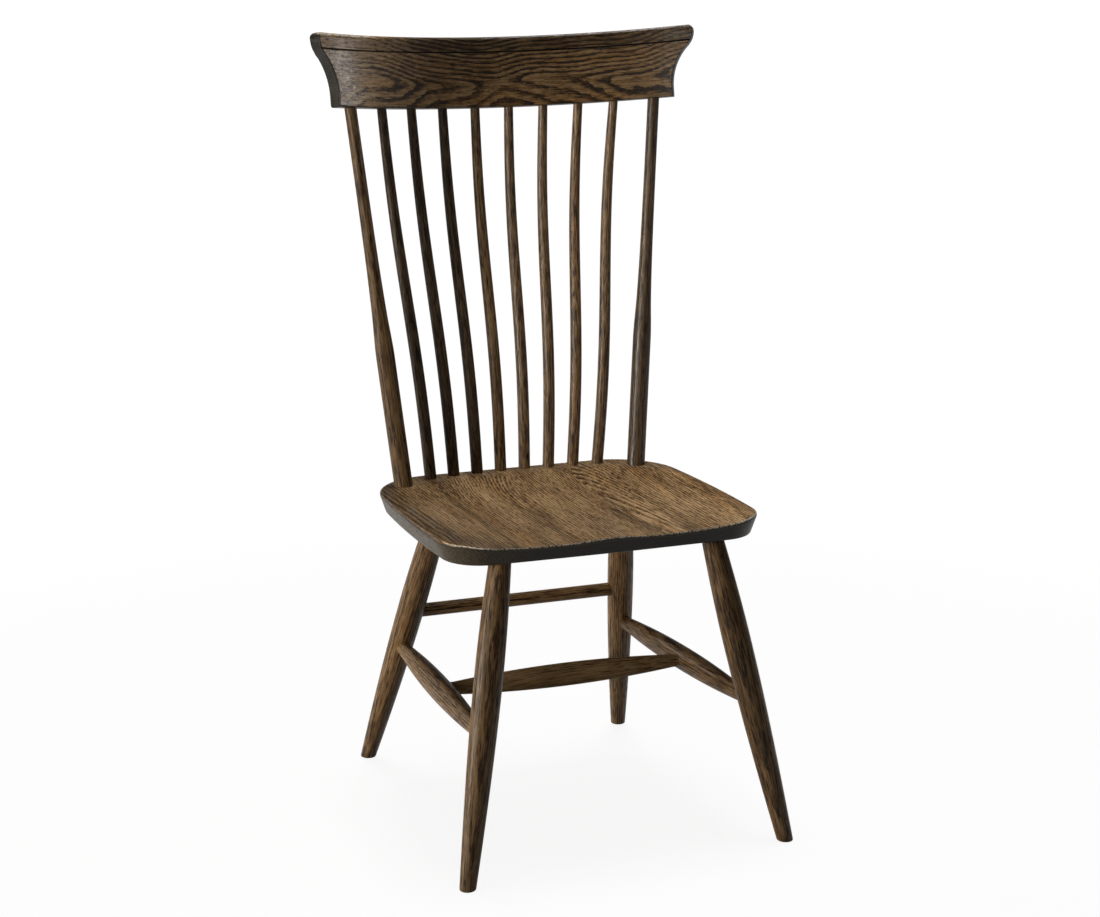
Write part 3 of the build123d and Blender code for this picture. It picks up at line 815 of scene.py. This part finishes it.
def turned_grain(start, axis, pith, shift, tilt):
    """Grain of a straight turned piece, cut some way off the tree's pith."""
    first, second = cross_axes(axis)

    def grain(point):
        arm = point - start
        length = arm.dot(axis)
        return (arm.dot(first) - pith[0], length + shift, arm.dot(second) - pith[1] + tilt * length), axis

    return grain


def make_turned(node, rings, start, axis, pith_distance):
    """Turned piece through rings of points, evenly darkened by its stain and, on some spindles, by painted
    shade.
    """
    amount = PIECE_STAIN_AND_SHADE.get(node, 0.0)
    make_piece(
        f"{node}_wood",
        tube(rings),
        turned_grain(start, axis, *random_cut(pith_distance)),
        [node],
        turned_material(node),
        shade=lambda point: amount,
    )


# Legs


def leg_radius(length, at):
    """Radius of a leg at a distance along its axis from the floor."""
    swell = length * LEG_SWELL_HEIGHT / SEAT_UNDER
    return hermite(((0, LEG_RADII[0]), (swell, LEG_RADII[1]), (length, LEG_RADII[2])), LEG_SLOPES, at)


def level_ring(foot, axis, length, height, inset):
    """Level ring of a leg at a height above the floor, drawn in by an inset. A few tries find each point."""
    ring = []
    for way in around(axis, ROUND):
        at = height / axis.z
        for _ in range(4):
            at = (height - way.z * (leg_radius(length, at) - inset)) / axis.z
        ring.append(foot + axis * at + way * (leg_radius(length, at) - inset))
    return ring


legs = {}
for side, hand in SIDES:
    for end, foot, top in (("front", FRONT_FOOT, FRONT_LEG_TOP), ("rear", REAR_FOOT, REAR_LEG_TOP)):
        legs[f"{end}_{side}_leg"] = (
            Vector((hand * foot[0], foot[1], 0)),
            Vector((hand * top[0], top[1], SEAT_UNDER)),
        )

LEG_TENON = (
    (0.0, LEG_TENON_RADIUS),
    (LEG_TENON_LENGTH - TENON_EASE, LEG_TENON_RADIUS),
    (LEG_TENON_LENGTH, LEG_TENON_RADIUS - TENON_EASE),
)
eased = FOOT_EDGE[-1][0]
levels = list(FOOT_EDGE)
levels += [(eased + (SEAT_UNDER - eased) * i / LEG_ROWS, 0.0) for i in range(1, LEG_ROWS + 1)]
for name, (foot, top) in legs.items():
    axis = (top - foot).normalized()
    length = (top - foot).length
    ways = around(axis, ROUND)
    rings = [level_ring(foot, axis, length, height, inset) for height, inset in levels]
    rings += [ring_at(top, axis, ways, place, radius) for place, radius in LEG_TENON]
    make_turned(name, rings, foot, axis, LEG_PITH)


# Stretchers


def at_height(name, height):
    """Point of a leg's axis at a height above the floor."""
    foot, top = legs[name]
    return foot + (top - foot) * (height / top.z)


def stretcher(name, start, end, end_radius, swell_radius, neck):
    """Turned stretcher between two joints, with straight tenons into both."""
    axis = (end - start).normalized()
    span = (end - start).length
    ways = around(axis, ROUND)
    tip = -TENON_PAST_AXIS
    stops = [(tip, end_radius - TENON_EASE), (tip + TENON_EASE, end_radius), (neck, end_radius)]
    far_stops = [(span - place, radius) for place, radius in reversed(stops)]
    for i in range(1, STRETCHER_ROWS):
        share = i / STRETCHER_ROWS
        swell = (swell_radius - end_radius) * (1 - (2 * share - 1) ** 2)
        stops.append((neck + (span - 2 * neck) * share, end_radius + swell))
    rings = [ring_at(start, axis, ways, place, radius) for place, radius in stops + far_stops]
    make_turned(name, rings, start, axis, STRETCHER_PITH)


centre_ends = []
for side, _ in SIDES:
    front_joint = at_height(f"front_{side}_leg", SIDE_STRETCHER_HEIGHT)
    rear_joint = at_height(f"rear_{side}_leg", SIDE_STRETCHER_HEIGHT)
    stretcher(f"{side}_side_stretcher", front_joint, rear_joint, *SIDE_STRETCHER_RADII, SIDE_STRETCHER_NECK)
    middle = (front_joint + rear_joint) / 2
    centre_ends.append(middle + (front_joint - rear_joint).normalized() * CENTRE_STRETCHER_FORWARD)
stretcher("centre_stretcher", *centre_ends, *CENTRE_STRETCHER_RADII, CENTRE_STRETCHER_NECK)
rear_ends = [at_height(f"rear_{side}_leg", REAR_STRETCHER_HEIGHT) for side, _ in SIDES]
stretcher("rear_stretcher", *rear_ends, *REAR_STRETCHER_RADII, REAR_STRETCHER_NECK)


# Skin of the bent crest rail

crest_rise = Vector((0, math.sin(CREST_RECLINE), math.cos(CREST_RECLINE)))
crest_back = Vector((0, math.cos(CREST_RECLINE), -math.sin(CREST_RECLINE)))
crest_centre = CREST_BASE - crest_back * CREST_RADIUS
crest_middle_radius = CREST_RADIUS + CREST_THICKNESS / 2

# Steps along the section, whose front and back have as many points as each other
CREST_UNDER_STEPS = 3
CREST_FACE_STEPS = 24
CREST_HEAD_STEPS = 6
CREST_TOP_STEPS = 6
CREST_BACK_STEPS = CREST_FACE_STEPS + CREST_HEAD_STEPS + 4

# Columns to each end of the rail, the last at set distances from it, and shares of the thickness for
# strips across the end
CREST_COLUMNS = 60
END_DISTANCES = (0.0, 1.2, 2.4, 4.0, 7.0)
END_SHARES = (0.07, 0.14, 0.24, 0.5, 0.76, 0.90)

# A face is on the rail's end if it faces sideways by this much, this far out. The end's edges are eased
# where they turn by more than the angle
END_FACING = 0.6
END_REACH = 200.0
END_EDGE_ANGLE = math.radians(40)


def crest_place(angle, radius, rise):
    """Point of the crest rail by its angle about the bending axis, its radius and its rise."""
    return (
        crest_centre
        + (crest_back * math.cos(angle) + Vector((math.sin(angle), 0, 0))) * radius
        + crest_rise * rise
    )


def crest_point(reach, rise):
    """Point in the middle of the rail's thickness."""
    return crest_place(reach / crest_middle_radius, crest_middle_radius, rise)


def crest_end(rise):
    """How far the rail's end stands out past its lower corner at a rise above the lower edge."""
    flare = CREST_LOBE_REACH - CREST_BASE_REACH
    lobe = CREST_HEIGHT - CREST_LOBE_ROUND
    turn = 2 * math.atan(flare / (lobe - CREST_END_RISE))
    radii = (lobe - CREST_END_RISE) / math.sin(turn)
    hollow = radii * CREST_FLARE_SHARE
    swell = radii - hollow
    bend = CREST_END_RISE + hollow * math.sin(turn)
    if rise <= CREST_END_RISE:
        return 0.0
    if rise <= bend:
        return hollow - math.sqrt(hollow**2 - (rise - CREST_END_RISE) ** 2)
    if rise <= lobe:
        return flare - swell + math.sqrt(swell**2 - (lobe - rise) ** 2)
    return flare - CREST_LOBE_ROUND + math.sqrt(max(CREST_LOBE_ROUND**2 - (rise - lobe) ** 2, 0.0))


def crest_limit(radius, rise):
    """Angle at which the rail ends, at a radius and a rise."""
    return CREST_BASE_REACH / CREST_RADIUS + math.asin(crest_end(rise) / radius)


def crest_angle(column, radius, rise):
    """Angle of a column of points of the rail."""
    limit = crest_limit(radius, rise)
    past = abs(column) - CREST_COLUMNS
    if past >= 0:
        angle = limit - END_DISTANCES[-1 - past] / crest_middle_radius
    else:
        angle = (limit - END_DISTANCES[-1] / crest_middle_radius) * abs(column) / CREST_COLUMNS
    return math.copysign(angle, column)


def round_corner(centre, radius, start, end, count):
    """Points of a rounded corner of the rail's section, between two angles in degrees."""
    return arc_points(centre, radius, math.radians(start), math.radians(end), count)


def face_points(depth, start, end, count):
    """Points up or down a face of the section, between two rises but without them."""
    return [(depth, start + (end - start) * i / count) for i in range(1, count)]


def crest_section():
    """Front and back of the rail's section, as (depth behind the front face, rise)."""
    line_low = CREST_LINE_HEIGHT - CREST_LINE_WIDTH / 2
    line_high = CREST_LINE_HEIGHT + CREST_LINE_WIDTH / 2
    line_foot, line_head = line_low - CREST_LINE_BLEED, line_high + CREST_LINE_BLEED
    under, over = CREST_FRONT_UNDER_ROUND, CREST_TOP_FRONT_ROUND
    front = round_corner((under, under), under, 270, 180, CREST_UNDER_STEPS)
    front += face_points(0.0, under, line_foot, CREST_FACE_STEPS)
    front += [(0.0, line_foot), (0.0, line_low), (CREST_LINE_DEPTH, CREST_LINE_HEIGHT)]
    front += [(0.0, line_high), (0.0, line_head)]
    front += face_points(0.0, line_head, CREST_HEIGHT - over, CREST_HEAD_STEPS)
    front += round_corner((over, CREST_HEIGHT - over), over, 180, 90, CREST_TOP_STEPS)

    under, over = CREST_BACK_UNDER_ROUND, CREST_TOP_BACK_ROUND
    back = round_corner((CREST_THICKNESS - over, CREST_HEIGHT - over), over, 90, 0, CREST_TOP_STEPS)
    back += face_points(CREST_THICKNESS, CREST_HEIGHT - over, under, CREST_BACK_STEPS)
    back += round_corner((CREST_THICKNESS - under, under), under, 0, -90, CREST_UNDER_STEPS)
    return front, back


def cap_end(bm, ahead, behind):
    """Sawn end of the rail, as strips between the front and the back of its last section."""
    strips = [ahead]
    for share in END_SHARES:
        strips.append([bm.verts.new(a.co.lerp(b.co, share)) for a, b in zip(ahead, behind)])
    strips.append(behind)
    for one, two in zip(strips, strips[1:]):
        for i in range(len(one) - 1):
            bm.faces.new((one[i], one[i + 1], two[i + 1], two[i]))
    bm.faces.new([strip[0] for strip in strips])
    bm.faces.new([strip[-1] for strip in strips])


def on_end(face):
    """Whether a face belongs to one of the rail's sawn ends."""
    return abs(face.normal.x) > END_FACING and abs(face.calc_center_median().x) > END_REACH * MM


def crest_skin():
    """The rail as one closed skin, with its sawn ends eased."""
    front, back = crest_section()
    bm = bmesh.new()
    rows = []
    last = CREST_COLUMNS + len(END_DISTANCES) - 1
    for column in range(-last, last + 1):
        row = []
        for depth, rise in front + back:
            radius = CREST_RADIUS + depth
            place = crest_place(crest_angle(column, radius, rise), radius, rise)
            row.append(bm.verts.new(place * MM))
        rows.append(row)
    join_rows(bm, rows)
    for row in (rows[0], rows[-1]):
        cap_end(bm, row[: len(front)], list(reversed(row[len(front):])))
    bmesh.ops.remove_doubles(bm, verts=bm.verts, dist=TOUCHING)
    bmesh.ops.recalc_face_normals(bm, faces=bm.faces)
    edges = [
        edge for edge in bm.edges
        if sum(on_end(face) for face in edge.link_faces) == 1 and edge.calc_face_angle(0) > END_EDGE_ANGLE
    ]
    bmesh.ops.bevel(bm, geom=edges, offset=CREST_END_EASE * MM, segments=3, affect="EDGES", profile=0.5)
    return bm


# Wood of the crest rail

# Its figure: rings whose radius grows above and below an axis that sways, and shrinks away from a middle
FIGURE_RISE = 36.0
FIGURE_SWAY = 5.0
FIGURE_SWAY_LENGTH = 43.0
FIGURE_MIDDLE = 12.0
FIGURE_RADIUS = 110.0
FIGURE_SHIFT = 400.0
GROWTH_ABOVE = 0.50
GROWTH_BELOW = 0.20
GROWTH_EASE = 4.0
SHRINK_LEFT = 0.062
SHRINK_RIGHT = 0.050
SHRINK_EASE = 10.0
RIPPLE = 0.9
RIPPLE_LENGTH = 19.0
RIPPLE_LEAN = 0.03
FAINT_FIGURE = 0.40


def crest_coordinates(point):
    """Angle about the bending axis, radius and rise of a point of the rail."""
    arm = point - crest_centre
    side, ahead = arm.x, arm.dot(crest_back)
    return math.atan2(side, ahead), math.hypot(side, ahead), arm.dot(crest_rise)


def soft_size(value, ease):
    """Size of a value, rounded about zero."""
    return math.hypot(value, ease) - ease


def crest_grain(point):
    """Grain of the bent rail, which runs along its arc. The rings meet its face as arches that point to its
    middle: long and close set above their axis, short and steep below."""
    angle, radius, rise = crest_coordinates(point)
    along = angle * crest_middle_radius
    way = crest_back * -math.sin(angle) + Vector((math.cos(angle), 0, 0))
    across = rise - FIGURE_RISE
    height = across - FIGURE_SWAY * math.sin(along / FIGURE_SWAY_LENGTH)
    growth = GROWTH_ABOVE if height > 0 else GROWTH_BELOW
    shrink = SHRINK_LEFT if along < FIGURE_MIDDLE else SHRINK_RIGHT
    ring = FIGURE_RADIUS + growth * soft_size(height, GROWTH_EASE)
    ring -= shrink * soft_size(along - FIGURE_MIDDLE, SHRINK_EASE)
    ring += RIPPLE * math.sin(along / RIPPLE_LENGTH + RIPPLE_LEAN * rise) + radius - CREST_RADIUS
    return (across, along + FIGURE_SHIFT, math.sqrt(ring**2 - across**2)), way


def line_stain_and_shade(depth, rise):
    """Darkening in the scribed line, which bleeds a little past its lips: stain gathered there and painted
    shade, full on the upper flank and fading down the lower one.
    """
    gap = rise - CREST_LINE_HEIGHT
    edge = CREST_LINE_WIDTH / 2
    if gap < 0:
        line = max(0.0, 1 + gap / (edge + CREST_LINE_BLEED))
    else:
        line = 1 - smoothstep(edge, edge + CREST_LINE_BLEED, gap)
    return line * (1 - smoothstep(2.0, 3.0, depth))


def crest_stain_and_painted_light(point):
    """Darker in the scribed line, close to the front edges of the ends and above the line, with painted shade
    along the lower edge and over the middle and right, which leaves the left end lighter; near the left end
    the top edge has a painted highlight and the face painted glints in specks."""
    angle, radius, rise = crest_coordinates(point)
    depth = radius - CREST_RADIUS
    along = angle * crest_middle_radius
    to_end = (crest_limit(radius, min(max(rise, 0.0), CREST_HEIGHT)) - abs(angle)) * radius
    # Darker close to the front edge of each end
    end = 0.92 * (1 - smoothstep(0.6, 2.6, max(to_end, depth)))
    # Painted shade along the lower edge
    under = 0.8 * (1 - smoothstep(0.8, 2.5, rise))
    head = 0.22 * smoothstep(CREST_LINE_HEIGHT, CREST_LINE_HEIGHT + 3, rise)
    # Painted shade over the middle and right, which leaves the left end lighter
    painted_shade_past_left_end = 0.48 * smoothstep(-235, -90, along)
    darkening = max(line_stain_and_shade(depth, rise), end, under, head + painted_shade_past_left_end)
    # Painted highlight on the top front edge near the left end
    painted_highlight = smoothstep(98.5, 100.5, rise) * (1 - smoothstep(4.0, 6.0, depth))
    painted_highlight *= 1 - smoothstep(-225, -170, along)
    # Painted glints in specks on the face near the left end
    specks = 0.55 * (1 - smoothstep(-285, -205, along)) * (1 - smoothstep(1.0, 2.0, depth))
    return darkening * (1 - painted_highlight) - painted_highlight - specks * (1 - smoothstep(0.1, 0.4, darkening))


def crest_figure(point):
    """The rings show less towards the rail's left end."""
    angle, _, _ = crest_coordinates(point)
    return FAINT_FIGURE + (1 - FAINT_FIGURE) * smoothstep(-245, -130, angle * crest_middle_radius)


make_piece(
    "crest_rail_wood", crest_skin(), crest_grain, ["crest_rail"], crest_oak,
    shade=crest_stain_and_painted_light, figure=crest_figure,
)


# Posts

POST_SEAT_TENON = (
    (-POST_SEAT_TENON_LENGTH, POST_SEAT_TENON_RADIUS - TENON_EASE),
    (TENON_EASE - POST_SEAT_TENON_LENGTH, POST_SEAT_TENON_RADIUS),
    (-POST_SEAT_SINK, POST_SEAT_TENON_RADIUS),
)
for side, hand in SIDES:
    base = Vector((hand * POST_HALF_SPACING, POST_BASE_Y, SEAT_HEIGHT))
    top = crest_point(hand * POST_CREST_REACH, POST_CREST_TENON_LENGTH / 2)
    axis = (top - base).normalized()
    length = (top - base).length
    ways = around(axis, ROUND)
    shoulder = length - POST_CREST_TENON_LENGTH / 2 + POST_CREST_SINK
    tip = length + POST_CREST_TENON_LENGTH / 2
    rings = [ring_at(base, axis, ways, place, radius) for place, radius in POST_SEAT_TENON]
    for i in range(POST_ROWS + 1):
        ring = []
        for way in ways:
            low = -way.z * POST_RADII[0][1] / axis.z
            at = low + (shoulder - low) * i / POST_ROWS
            ring.append(base + axis * at + way * hermite(POST_RADII, POST_SLOPES, max(at, 0.0)))
        rings.append(ring)
    for place, radius in (
        (shoulder, POST_CREST_TENON_RADIUS),
        (tip - TENON_EASE, POST_CREST_TENON_RADIUS),
        (tip, POST_CREST_TENON_RADIUS - POST_CREST_TENON_EASE),
    ):
        rings.append(ring_at(base, axis, ways, place, radius))
    make_turned(f"{side}_back_post", rings, base, axis, POST_PITH)


# Bent spindles


def spindle_ring(centre, way, radius):
    """Ring of points square to a spindle's way."""
    return [centre + spoke * radius for spoke in around(way, SPINDLE_ROUND)]


def cut_level(ring, way):
    """A ring slid along a way until it lies on the seat's flat back."""
    return [point - way * ((point.z - SEAT_HEIGHT) / way.z) for point in ring]


for index in range(SPINDLE_COUNT):
    place = index - (SPINDLE_COUNT - 1) / 2
    base_x = place * SPINDLE_SEAT_PITCH
    base = Vector((base_x, SPINDLE_BASE_Y - base_x**2 / (2 * SPINDLE_ROW_RADIUS), SEAT_HEIGHT))
    top = crest_point(place * SPINDLE_CREST_PITCH, 0)
    chord = top - base
    base_way = (chord + FORWARD * (2 * math.pi * SPINDLE_BOW)).normalized()
    tip = base - base_way * SPINDLE_SEAT_TENON_LENGTH
    rings = [
        spindle_ring(tip, base_way, SPINDLE_SEAT_TENON_RADIUS - TENON_EASE),
        spindle_ring(tip + base_way * TENON_EASE, base_way, SPINDLE_SEAT_TENON_RADIUS),
        cut_level(spindle_ring(base, base_way, SPINDLE_SEAT_TENON_RADIUS), base_way),
        cut_level(spindle_ring(base, base_way, SPINDLE_SEAT_RADIUS), base_way),
    ]
    for i in range(1, SPINDLE_ROWS + 1):
        share = i / SPINDLE_ROWS
        turn = 2 * math.pi * share
        taper = (SPINDLE_SEAT_RADIUS - SPINDLE_CREST_RADIUS) * share**SPINDLE_TAPER_POWER
        centre = base + chord * share + FORWARD * (SPINDLE_BOW * math.sin(turn))
        way = chord + FORWARD * (2 * math.pi * SPINDLE_BOW * math.cos(turn))
        rings.append(spindle_ring(centre, way.normalized(), SPINDLE_SEAT_RADIUS - taper))
    for reach, radius in (
        (SPINDLE_CREST_TENON_LENGTH - TENON_EASE, SPINDLE_CREST_RADIUS),
        (SPINDLE_CREST_TENON_LENGTH, SPINDLE_CREST_RADIUS - TENON_EASE),
    ):
        rings.append(spindle_ring(top + crest_rise * reach, crest_rise, radius))
    make_turned(f"back_spindle_{index + 1}", rings, base, chord.normalized(), SPINDLE_PITH)


# Floor, in metres: white to the camera, with the chair's shadow left in it near the chair

FLOOR_REACH = 60
WHITE = (1, 1, 1)
FLOOR_WHITENESS_MIRRORED = 0.3
FLOOR_PAINT = (0.85, 0.85, 0.85)
FLOOR_PAINT_UNSEEN = (0.10, 0.10, 0.10)

corners = [(-1, -1), (1, -1), (1, 1), (-1, 1)]
floor_mesh = bpy.data.meshes.new("floor")
floor_mesh.from_pydata([(x * FLOOR_REACH, y * FLOOR_REACH, 0) for x, y in corners], [], [(0, 1, 2, 3)])
floor = bpy.data.objects.new("floor", floor_mesh)
bpy.context.scene.collection.objects.link(floor)

floor_material = bpy.data.materials.new("floor")
tree = new_tree(floor_material)
path = tree.nodes.new("ShaderNodeLightPath").outputs
seen = largest(tree, path["Is Camera Ray"], path["Is Glossy Ray"], path["Is Transmission Ray"])
spot = tree.nodes.new("ShaderNodeNewGeometry")
distance = tree.nodes.new("ShaderNodeVectorMath")
distance.operation = "LENGTH"
link(tree, distance.inputs[0], spot.outputs["Position"])
whiteness = spread(tree, distance.outputs["Value"], 0.9, 2.4, to_low=0.88, to_high=1.0)
to_camera = calc(tree, "MULTIPLY", path["Is Camera Ray"], whiteness)
white_share = largest(tree, to_camera, calc(tree, "MULTIPLY", seen, FLOOR_WHITENESS_MIRRORED))
paint = tree.nodes.new("ShaderNodeBsdfDiffuse")
link(tree, paint.inputs["Color"], blend(tree, seen, FLOOR_PAINT_UNSEEN, FLOOR_PAINT))
glow = tree.nodes.new("ShaderNodeEmission")
glow.inputs["Color"].default_value = (*WHITE, 1)
glow.inputs["Strength"].default_value = 1.03
mix_surface(tree, white_share, paint.outputs[0], glow.outputs[0], "ShaderNodeOutputMaterial")
floor_mesh.materials.append(floor_material)


# World: white to the camera, with a bright sweep low behind the chair for the wood to mirror


def background(tree, colour, strength):
    """Even light from all round."""
    node = tree.nodes.new("ShaderNodeBackground")
    node.inputs["Color"].default_value = (*colour, 1)
    node.inputs["Strength"].default_value = strength
    return node.outputs[0]


world = bpy.data.worlds.new("studio")
bpy.context.scene.world = world
tree = new_tree(world)
path = tree.nodes.new("ShaderNodeLightPath").outputs
way = tree.nodes.new("ShaderNodeTexCoord")
split = tree.nodes.new("ShaderNodeSeparateXYZ")
link(tree, split.inputs[0], way.outputs["Generated"])
low = spread(tree, split.outputs["Z"], 0.14, 0.02)
sweep = calc(tree, "MULTIPLY", low, spread(tree, split.outputs["Y"], 0.30, 0.80))
mirrored = calc(tree, "MULTIPLY", sweep, path["Is Glossy Ray"])
seen = largest(tree, path["Is Camera Ray"], mirrored, path["Is Transmission Ray"])
ambient = background(tree, (1.0, 0.98, 0.95), strength=0.02)
mix_surface(tree, seen, ambient, background(tree, WHITE, strength=1.0), "ShaderNodeOutputWorld")


# Lamps, in metres and watts

WARM_LIGHT = (1.0, 0.93, 0.83)


def softbox(name, place, aim, size, watts, colour=WHITE, beam=180):
    """Rectangular lamp that faces a point, with its light kept to a beam of so many degrees."""
    lamp = bpy.data.lights.new(name, "AREA")
    lamp.shape = "RECTANGLE"
    lamp.size, lamp.size_y = size
    lamp.energy = watts
    lamp.color = colour
    lamp.spread = math.radians(beam)
    obj = bpy.data.objects.new(name, lamp)
    bpy.context.scene.collection.objects.link(obj)
    obj.location = place
    obj.rotation_mode = "QUATERNION"
    obj.rotation_quaternion = (Vector(aim) - Vector(place)).to_track_quat("-Z", "Y")


softbox("overhead", (0.3, 0.6, 4.9), (0, 0, 0.5), (1.8, 1.8), 165)
softbox("left_high", (-3.4, -0.75, 1.15), (0, 0.2, 0.98), (0.6, 1.2), 2.8, WARM_LIGHT, beam=34)
softbox("left_low", (-3.4, 0.3, 0.35), (0, -0.05, 0.15), (0.6, 0.7), 1.6, WARM_LIGHT, beam=24)
softbox("front_left", (-2.5, -2.7, 1.5), (0, 0.2, 0.9), (0.5, 1.2), 0.50, WARM_LIGHT, beam=28)
softbox("right_fill", (2.6, -1.3, 1.9), (0, 0, 0.7), (0.9, 1.2), 1.5)
softbox("right_crest", (3.2, -0.45, 1.55), (-0.27, 0.2, 1.1), (0.7, 0.3), 0.12, beam=16)
softbox("rear", (-1.6, 3.6, 2.2), (0, 0, 0.6), (1.2, 1.2), 16)


# Camera: its place in metres and its turn about X, Y and Z in degrees

CAMERA_PLACE = (-1.232746, -3.069856, 1.304303)
CAMERA_TURN = (76.487655, -0.148282, -21.692194)

camera_data = bpy.data.cameras.new("camera")
camera_data.sensor_fit = "HORIZONTAL"
camera_data.sensor_width = 36.0
camera_data.lens = 78.066
camera_data.clip_end = 500.0
camera = bpy.data.objects.new("camera", camera_data)
bpy.context.scene.collection.objects.link(camera)
turn = Euler([math.radians(angle) for angle in CAMERA_TURN])
camera.matrix_world = Matrix.Translation(CAMERA_PLACE) @ turn.to_matrix().to_4x4()
bpy.context.scene.camera = camera
bpy.context.scene.view_settings.view_transform = "Standard"
